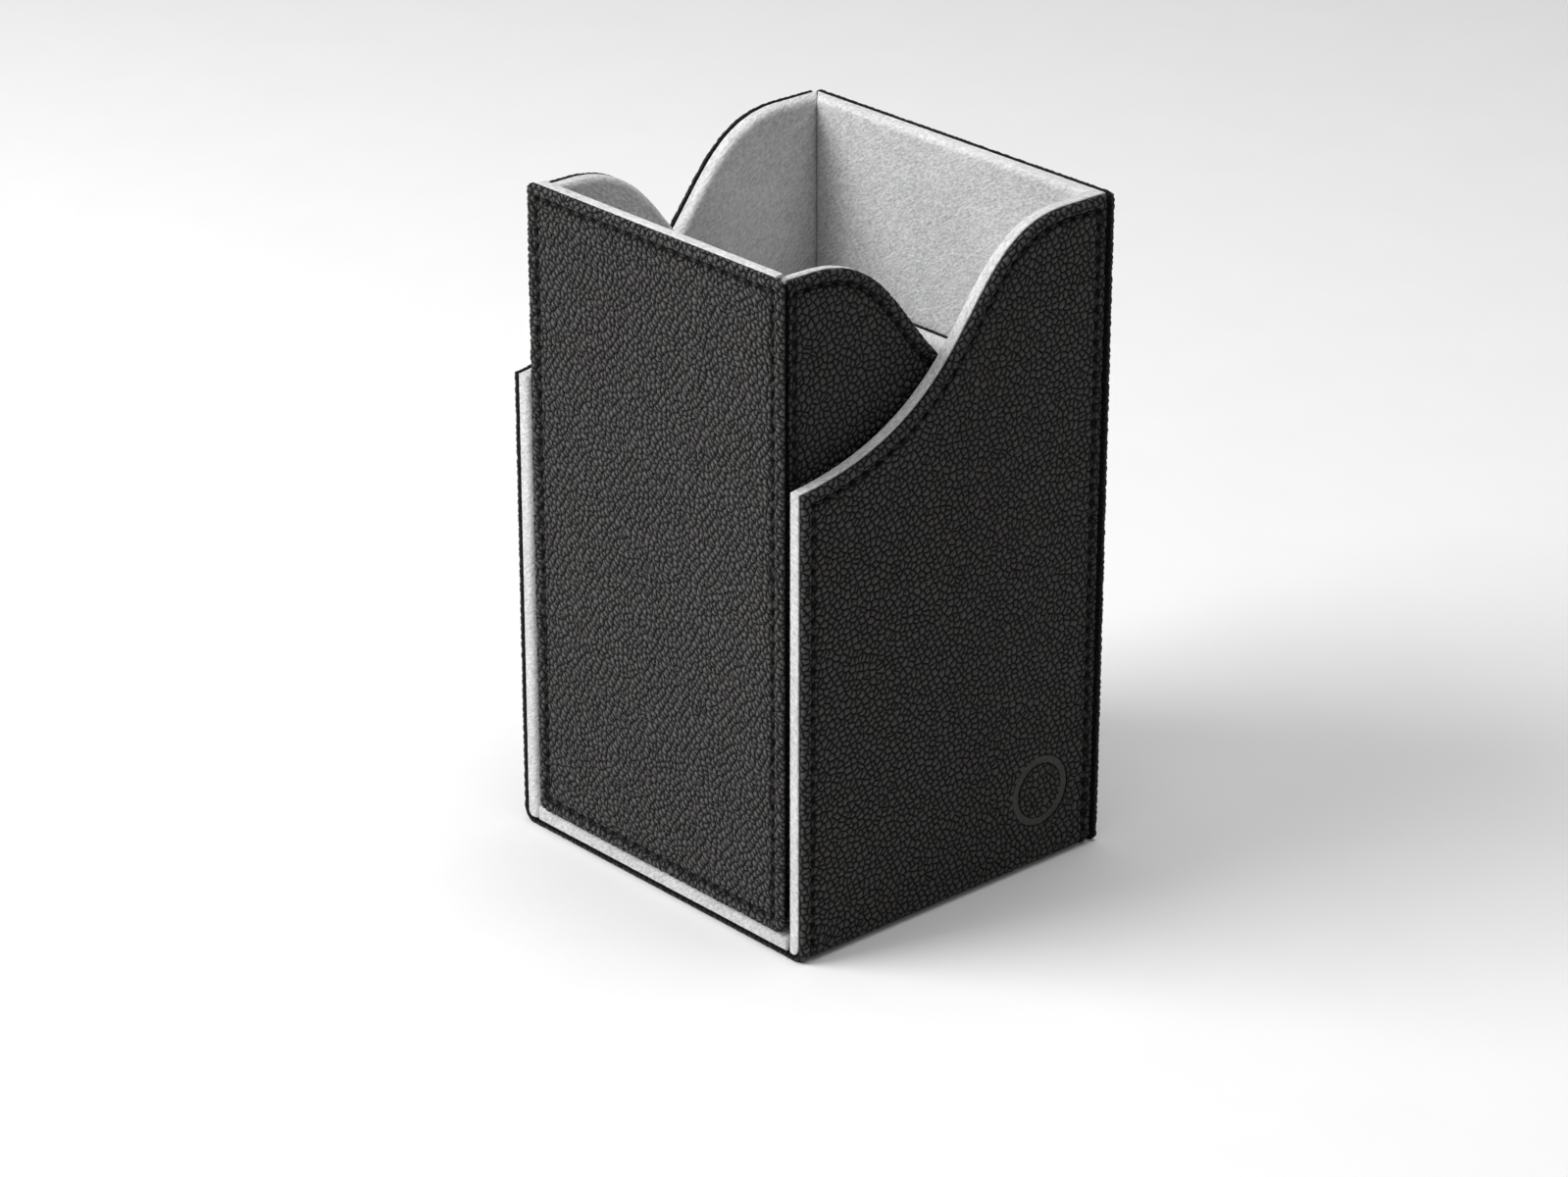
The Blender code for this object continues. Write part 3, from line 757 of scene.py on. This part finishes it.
def seam_press(a, b, runs):
    """Depth that the seams pull the skin down, how flat they press its grain, and the painted shade in their
    channels and needle holes.
    """
    nearest = np.full(a.shape, 1.0)
    phase = np.zeros(a.shape)
    for points, lengths, stitches in runs:
        for (x0, y0), (x1, y1), walked, length in zip(points, points[1:], lengths, np.diff(lengths)):
            share = ((a - x0) * (x1 - x0) + (b - y0) * (y1 - y0)) / length ** 2
            share = np.clip(share, 0.0, 1.0)
            distance = np.hypot(a - x0 - share * (x1 - x0), b - y0 - share * (y1 - y0))
            closer = distance < nearest
            nearest = np.where(closer, distance, nearest)
            pitch = lengths[-1] / stitches
            along = (walked + share * length) / pitch
            phase = np.where(closer, (along - np.round(along)) * pitch, phase)
    groove = np.exp(-(nearest / CHANNEL_REACH) ** 2)
    depth = CHANNEL_DEPTH * groove + PULL_DEPTH * np.exp(-(nearest / PULL_REACH) ** 2)
    hole = np.exp(-(phase / HOLE_LENGTH) ** 2) * np.exp(-(nearest / HOLE_REACH) ** 2)
    pressed = np.clip(CHANNEL_PRESS * groove, 0.0, 1.0)
    # painted shade in the channel and its needle holes
    dark = np.clip(CHANNEL_SHADE * groove + HOLE_SHADE * hole, 0.0, 1.0)
    return depth + HOLE_DEPTH * hole, pressed, dark


def margin_rise(distance):
    """Height of the rolled margin, by the distance from the skin's edge."""
    return MARGIN_RISE * np.exp(-((distance - MARGIN_MIDDLE) / MARGIN_REACH) ** 2)


def thread_mesh(name, box, runs, surface):
    """Two-ply stitches that dip into their holes at both ends."""
    angles = np.linspace(0.0, 2 * math.pi, THREAD_SIDES, endpoint=False)
    share = np.linspace(0.0, 1.0, THREAD_RINGS)
    points, faces, sheets = [], [], []
    for path, lengths, stitches in runs:
        pitch = lengths[-1] / stitches
        for i in range(stitches):
            place = (i + share) * pitch + STITCH_GAP / 2 * (1 - 2 * share)
            a = np.interp(place, lengths, path[:, 0])
            b = np.interp(place, lengths, path[:, 1])
            da, db = np.gradient(a), np.gradient(b)
            size = np.hypot(da, db)
            dip = np.abs(2 * share - 1) ** 3
            plies = np.cos(2 * angles[None] - PLY_TWIST * share[:, None])
            radius = THREAD_RADIUS * (1.0 - THREAD_TAPER * dip[:, None])
            radius = radius * (1.0 + PLY_RELIEF * plies)
            across = radius * np.cos(angles[None])
            depth = THREAD_SINK + THREAD_DIP * dip[:, None] - radius * np.sin(angles[None])
            base = len(points) * THREAD_SIDES * THREAD_RINGS
            points.append(surface(a[:, None] - across * (db / size)[:, None],
                                  b[:, None] + across * (da / size)[:, None], depth).reshape(-1, 3))
            sheets.append(np.stack([np.repeat(place, THREAD_SIDES),
                                    np.tile(angles * THREAD_RADIUS, THREAD_RINGS)], axis=1))
            for k in range(THREAD_RINGS - 1):
                for j in range(THREAD_SIDES):
                    n = (j + 1) % THREAD_SIDES
                    low, high = base + k * THREAD_SIDES, base + (k + 1) * THREAD_SIDES
                    faces.append([low + j, low + n, high + n, high + j])
            faces.append([base + j for j in reversed(range(THREAD_SIDES))])
            faces.append([base + (THREAD_RINGS - 1) * THREAD_SIDES + j for j in range(THREAD_SIDES)])
    return build(name, box, np.concatenate(points), faces, np.concatenate(sheets))


# ---- leatherette pieces


def grain_height(grain):
    def height(graph, sheet, _position):
        dome, crown, _chance = pebbles(graph, sheet, grain)
        total = graph.math("ADD", graph.math("SUBTRACT", dome, 0.75), graph.math("MULTIPLY", crown, CROWN))
        return graph.math("MULTIPLY", total, grain.relief)

    return height


def make_wrap(box, material, ring_material):
    """Left side, floor and right side of the leatherette strip, with the ring in the shell's right side."""
    seam_start = -box.reach + (box.skin_inside if box.low else 0.0)
    seam_end = box.reach - box.skin_inside
    groove = GROOVE[box.name]
    start = seam_start + (groove if box.low else 0.0)
    end = seam_end - groove
    radius = box.skin_round
    surface = strip_surface(box)
    flat = box.half - WRAP_CORNER
    split = flat - SPLIT_INSET
    y = spaced(start + radius, end - radius, SIDE_STEP, MARGIN, MARGIN_STEP)
    edge = skin_edge(box.skin, radius)
    for side in (-1, 1):
        label = box.side_name(side)
        ring = box.name == "outer" and label == "right"
        runs = side_runs(box, side, seam_start, seam_end)
        inset = spaced(radius, MARGIN, MARGIN_STEP)[:, None]
        upper = strip_length(box, box.top(y[None], inset))
        bend_top = flat + WRAP_CORNER * math.pi / 2
        middle_top = strip_length(box, (box.low_height + box.side_height) / 2)
        count = round((middle_top - MARGIN - bend_top) / SIDE_STEP)
        share = np.linspace(0.0, 1.0, count)[1:, None]
        middle = upper[-1] * (1 - share) + bend_top * share
        turn = np.repeat(np.linspace(bend_top, split, BEND_ROWS)[1:, None], len(y), axis=1)
        b = side * np.concatenate([upper, middle, turn])
        a = np.repeat(y[None], len(b), axis=0)

        def press(a, b, runs=runs, ring=ring):
            depth, pressed, dark = seam_press(a, b, runs)
            z = np.abs(b) - strip_length(box, 0.0)
            slope = np.hypot(1.0, np.interp(a, box.curve_y, box.curve_slope))
            from_edge = np.minimum(np.minimum(a - start, end - a), (box.top(a) - z) / slope)
            depth = depth - margin_rise(from_edge)
            # painted shade on the face beside the groove at the wrap's high end
            dark = np.maximum(dark, EDGE_SHADE_STRENGTH * np.exp(-(end - a) / EDGE_SHADE))
            # painted shade: the bend under the box is worn flat and painted with shade where it meets the
            # floor
            under = np.clip((flat + UNDER_FADE - np.abs(b)) / UNDER_FADE, 0.0, 1.0)
            pressed = np.maximum(pressed, under)
            dark = np.maximum(dark, under)
            if ring:
                away = np.hypot(a - RING_Y, z - RING_Z)
                centre = RING_RADIUS - RING_BAND / 2
                within = RING_BAND / 2 + RING_SLOPE / 3 - np.abs(away - centre)
                inside = np.clip(within / RING_SLOPE, 0.0, 1.0)
                depth = depth + RING_DEPTH * inside
                pressed = np.maximum(pressed, inside)
            return depth, pressed, dark

        piece = sheet_mesh(f"{box.name}_{label}_wrap", box, a, b, surface, box.skin, edge,
                           (True, True, False, True), press=press)
        displace(piece, grain_height(SIDE_GRAIN))
        finish_piece(piece, box, f"{box.name}_wrap", ring_material if ring else material)
        threads = thread_mesh(f"{box.name}_{label}_stitches", box, runs, surface)
        finish_piece(threads, box, f"{box.name}_{label}_stitching", materials["thread"])

    # the floor of the wrap, under the box: grain pressed flat, with painted shade
    def press_floor(a, _b):
        return 0.0 * a, FLOOR_PRESSED + 0.0 * a, FLOOR_SHADE + 0.0 * a

    across = spaced(-split, split, FLOOR_STEP)
    a, b = np.meshgrid(y, across)
    piece = sheet_mesh(f"{box.name}_floor_wrap", box, a, b, surface, box.skin, edge,
                       (False, True, False, True), press=press_floor)
    displace(piece, grain_height(SIDE_GRAIN))
    finish_piece(piece, box, f"{box.name}_wrap", material)


def rounded(a, b, half, low, high, radius):
    """Lattice points moved so that the rectangle's corners are arcs of this radius."""
    middle, tall = (low + high) / 2, (high - low) / 2
    u = (np.abs(a) - (half - radius)) / radius
    v = (np.abs(b - middle) - (tall - radius)) / radius
    corner = (u > 0) & (v > 0)
    size = np.where(corner, np.maximum(u, v) / np.maximum(np.hypot(u, v), 1e-9), 1.0)
    a = np.where(corner, np.sign(a) * (half - radius + u * radius * size), a)
    b = np.where(corner, middle + np.sign(b - middle) * (tall - radius + v * radius * size), b)
    return a, b


def make_cover(box, label, end, half, height, grain, material):
    """Leatherette of an end wall, sewn right round."""
    radius = box.skin_round
    surface = end_surface(box, end, lambda depth: depth)
    x = spaced(-half + radius, half - radius, COVER_STEP, MARGIN, MARGIN_STEP)
    z = spaced(radius, height - radius, COVER_STEP, MARGIN, MARGIN_STEP)
    a, b = np.meshgrid(x, z)
    a, b = rounded(a, b, half - radius, radius, height - radius, COVER_CORNER - radius)
    runs = cover_runs(half, height)

    def press(a, b):
        depth, pressed, dark = seam_press(a, b, runs)
        from_edge = np.minimum(half - np.abs(a), np.minimum(b, height - b))
        return depth - margin_rise(from_edge), pressed, dark

    name = f"{box.name}_{label}"
    piece = sheet_mesh(f"{name}_leather", box, a, b, surface, box.skin, skin_edge(box.skin, radius),
                       (True,) * 4, press=press, dark_from=COVER_SHADE_FROM)
    displace(piece, grain_height(grain))
    finish_piece(piece, box, f"{name}_cover", material)
    threads = thread_mesh(f"{name}_stitches", box, runs, surface)
    finish_piece(threads, box, f"{name}_stitching", materials["thread"])


# ---- microfibre pieces


def nap_height(graph, _sheet, position):
    """Slow waves of the glued sheet and the uneven tips of its nap."""
    waves = graph.noise(position, 90.0, detail=1.0).outputs["Fac"]
    tips = graph.noise(position, 1500.0, detail=2.0).outputs["Fac"]
    total = graph.math("ADD", graph.math("MULTIPLY", waves, 0.00010), graph.math("MULTIPLY", tips, 0.00024))
    return graph.math("SUBTRACT", total, 0.00017)


def make_side_lining(box, side):
    """Sheet on a side wall with its rim over the curve and, at an open end, down the front edge.

    Near a corner the rim leans towards the end wall, to meet the other rim at a mitre.
    """
    thick = box.lining
    across = box.wall - box.skin_inside + RIM_REACH
    bottom = box.floor - box.lining
    face_x = box.half - box.wall
    start = -box.reach + (box.wall if box.low else RIM_ROLL)
    end = box.reach - box.wall
    tuck = thick * 0.9
    inset = spaced(RIM_ROLL, RIM_BAND, RIM_BAND_STEP)
    share = spaced(0.0, 1.0, LINING_STEP / box.height)
    columns = spaced(0.0, 1.0, LINING_STEP / (end - start), 0.03, 0.005)
    low_tuck = tuck if box.low else 0.0

    rows_a, rows_b = [], []
    for k, down in enumerate(inset):
        fade = 0.0 if k == 0 else min(1.0, k / (len(inset) - 1))
        y = start - low_tuck * fade + columns * (end - start + (low_tuck + tuck) * fade)
        rows_a.append(y)
        rows_b.append(box.top(y, down))
    foot = np.full(len(columns), bottom)
    if not box.low:
        foot[:2] = box.skin_inside + 0.0001
    for s in share[1:]:
        rows_a.append(rows_a[-1])
        rows_b.append(rows_b[len(inset) - 1] * (1 - s) + foot * s)
    a, b = np.array(rows_a), np.array(rows_b)

    def surface(a, b, depth):
        return np.stack([side * (face_x + depth + 0.0 * a), a + 0.0 * depth, b + 0.0 * depth], axis=-1)

    def rim_surface(a, b, depth):
        to_high = np.clip(1.0 - (end - a) / MITRE_REACH, 0.0, 1.0)
        to_low = np.clip(1.0 - (a - start) / MITRE_REACH, 0.0, 1.0) if box.low else 0.0
        a = a + depth * np.where(b > bottom + 0.01, to_high - to_low, 0.0)
        corner = WRAP_CORNER - box.skin_inside
        drop = np.clip(WRAP_CORNER - b, 0.0, corner)
        limit = box.half - WRAP_CORNER + np.sqrt(np.maximum(corner ** 2 - drop ** 2, 0.0)) - face_x
        return surface(a, b, np.where(b < WRAP_CORNER, np.minimum(depth, limit), depth))

    piece = sheet_mesh(f"{box.name}_{box.side_name(side)}_microfibre", box, a, b, surface, thick,
                       rim_edge(thick, across), (True, False, False, not box.low), rim_surface)
    displace(piece, nap_height)
    node = f"{box.name}_{box.side_name(side)}_lining"
    finish_piece(piece, box, node, materials["microfibre"])


def make_end_lining(box, label, end, height, lap=0.0, lift=0.0):
    """Sheet on an end wall. Its rim is mitred into level side rims, or spreads over lower side walls.

    There lap is how far it also covers the skin's edge, and lift how far it stands above it.
    """
    thick = box.lining
    level = height in (box.side_height, box.low_height)
    across = box.wall - box.skin_inside + (RIM_REACH if level else lap)
    half = box.half - box.wall - CORNER_GAP
    widening = 1.0 if level else RIM_SPREAD
    x = spaced(-half, half, LINING_STEP)
    z = spaced(box.floor - thick, height + lift - RIM_ROLL, LINING_STEP)[::-1]
    a, b = np.meshgrid(x, z)
    surface = end_surface(box, end, lambda depth: box.wall - depth)

    def rim_surface(a, b, depth):
        wider = np.minimum(widening * depth, across - lap)
        grow = np.where(b > height - 2 * RIM_ROLL, 1.0 + wider / half, 1.0)
        return surface(a * grow, b, depth)

    piece = sheet_mesh(f"{box.name}_{label}_microfibre", box, a, b, surface, thick,
                       rim_edge(thick, across), (True, False, False, False), rim_surface)
    displace(piece, nap_height)
    finish_piece(piece, box, f"{box.name}_{label}_lining", materials["microfibre"])


def make_floor_lining(box):
    """Sheet on the floor. At an open low end its rim turns down over the board."""
    thick = box.lining
    half = box.half - box.wall - GAP
    start = -box.reach + (box.wall + GAP if box.low else RIM_ROLL)
    y = spaced(start, box.reach - box.wall - GAP, LINING_STEP)
    x = spaced(-half, half, LINING_STEP)
    a, b = np.meshgrid(x, y)

    def surface(a, b, depth):
        return np.stack([a + 0.0 * depth, b + 0.0 * depth, box.floor - depth + 0.0 * a], axis=-1)

    if box.low:
        edge = [(0.0, thick, 0.0)]
    else:
        edge = rim_edge(thick, box.floor - box.skin_inside)
    piece = sheet_mesh(f"{box.name}_floor_microfibre", box, a, b, surface, thick, edge,
                       (not box.low, False, False, False))
    displace(piece, nap_height)
    finish_piece(piece, box, f"{box.name}_floor_lining", materials["microfibre"])


# ---- scene


def softbox(name, azimuth, elevation, distance, size, power, aim):
    """A square area light. Azimuth 0 is in front of the object, and 90 is on its right."""
    light = bpy.data.lights.new(name, "AREA")
    light.shape = "SQUARE"
    light.size = size
    light.energy = power
    lamp = bpy.data.objects.new(name, light)
    bpy.context.scene.collection.objects.link(lamp)
    back = direction(azimuth, elevation)
    lamp.location = aim + back * distance
    lamp.rotation_mode = "QUATERNION"
    lamp.rotation_quaternion = (-back).to_track_quat("-Z", "Y")


def direction(azimuth, elevation):
    a, e = math.radians(azimuth), math.radians(elevation)
    return Vector((math.sin(a) * math.cos(e), -math.cos(a) * math.cos(e), math.sin(e)))


def make_stage():
    scene = bpy.context.scene
    scene.view_settings.view_transform = "Standard"
    mesh = bpy.data.meshes.new("floor")
    size = STAGE_SIZE
    corners = [(-size, -size, 0), (size, -size, 0), (size, size, 0), (-size, size, 0)]
    mesh.from_pydata(corners, [], [(0, 1, 2, 3)])
    mesh.materials.append(studio_floor("studio_floor"))
    floor = bpy.data.objects.new("floor", mesh)
    floor.location.z = -STAGE_DROP
    scene.collection.objects.link(floor)

    world = bpy.data.worlds.new("studio")
    world.use_nodes = True
    world.node_tree.nodes["Background"].inputs["Color"].default_value = (1.0, 1.0, 1.0, 1.0)
    world.node_tree.nodes["Background"].inputs["Strength"].default_value = WORLD_STRENGTH
    scene.world = world
    low, high = cad_box
    aim = (low + high) / 2
    for name, azimuth, elevation, distance, size, power in SOFTBOXES:
        softbox(name, azimuth, elevation, distance, size, power, aim)


def make_camera():
    camera = bpy.data.objects.new("camera", bpy.data.cameras.new("camera"))
    bpy.context.scene.collection.objects.link(camera)
    camera.data.lens = CAMERA_LENS
    camera.data.sensor_width = 36.0
    camera.data.clip_start, camera.data.clip_end = 0.05, 20.0
    back = direction(CAMERA_AZIMUTH, CAMERA_ELEVATION)
    camera.location = CAMERA_AIM + back * CAMERA_DISTANCE
    camera.rotation_mode = "QUATERNION"
    camera.rotation_quaternion = (-back).to_track_quat("-Z", "Y")
    bpy.context.scene.camera = camera


CAMERA_AZIMUTH = 48.203
CAMERA_ELEVATION = 24.145
CAMERA_LENS = 113.64
CAMERA_DISTANCE = 1.01508
CAMERA_AIM = Vector((0.00116, -0.00780, 0.05849))

STAGE_SIZE = 4.0            # half the floor's side
STAGE_DROP = 0.0001         # keeps the floor just clear of the underside
WORLD_STRENGTH = 0.22
SOFTBOXES = [
    # name, azimuth, elevation, distance, size, power
    ("key", -32.0, 38.0, 1.1, 0.7, 12.5),
    ("fill", 105.0, 35.0, 1.4, 0.8, 0.4),
    ("top", 150.0, 82.0, 1.2, 0.9, 7.0),
]

outer = Box("outer", "back", None, False)
inner = Box("inner", "front", "back", True)
# in each look the second colour is painted shade for the valleys between the pebbles
side_look = (SIDE_GRAIN, (0.051, 0.049, 0.047), (0.0025, 0.0025, 0.0025), 0.60)
# the panel's top colour is lighter: partly its own leatherette, partly painted light for the front that the
# key light falls on
panel_look = (PANEL_GRAIN, (0.084, 0.082, 0.081), (0.003, 0.003, 0.003), 0.56)
ring_centre = (RING_Y, strip_length(outer, RING_Z), 0.0)
materials = {
    "side": leatherette("leatherette_side", *side_look),
    "ringed": leatherette("leatherette_ringed", *side_look, ring=ring_centre),
    "panel": leatherette("leatherette_panel", *panel_look),
    "microfibre": microfibre("microfibre_grey", (0.62, 0.62, 0.625)),
    "thread": sewing_thread("sewing_thread"),
    "board": dyed_board("dyed_board"),
    "magnet": plated_magnet("plated_magnet"),
}

for box in (outer, inner):
    make_wrap(box, materials["side"], materials["ringed"])
    for side in (-1, 1):
        make_side_lining(box, side)
    make_floor_lining(box)
make_end_lining(outer, "back", 1, outer.height)
make_end_lining(inner, "front", 1, inner.height, PANEL_RIM_LAP, PANEL_RIM_LIFT)
make_cover(outer, "back", 1, outer.cover_half, outer.height, SIDE_GRAIN, materials["side"])
make_cover(inner, "front", 1, inner.cover_half, inner.height, PANEL_GRAIN, materials["panel"])
make_cover(inner, "back", -1, inner.half, inner.low_height, SIDE_GRAIN, materials["side"])
make_end_lining(inner, "back", -1, inner.low_height)

for name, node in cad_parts.items():
    for kind in ("board", "magnet"):
        if name.endswith(kind):
            node.data.materials.clear()
            node.data.materials.append(materials[kind])

make_stage()
make_camera()
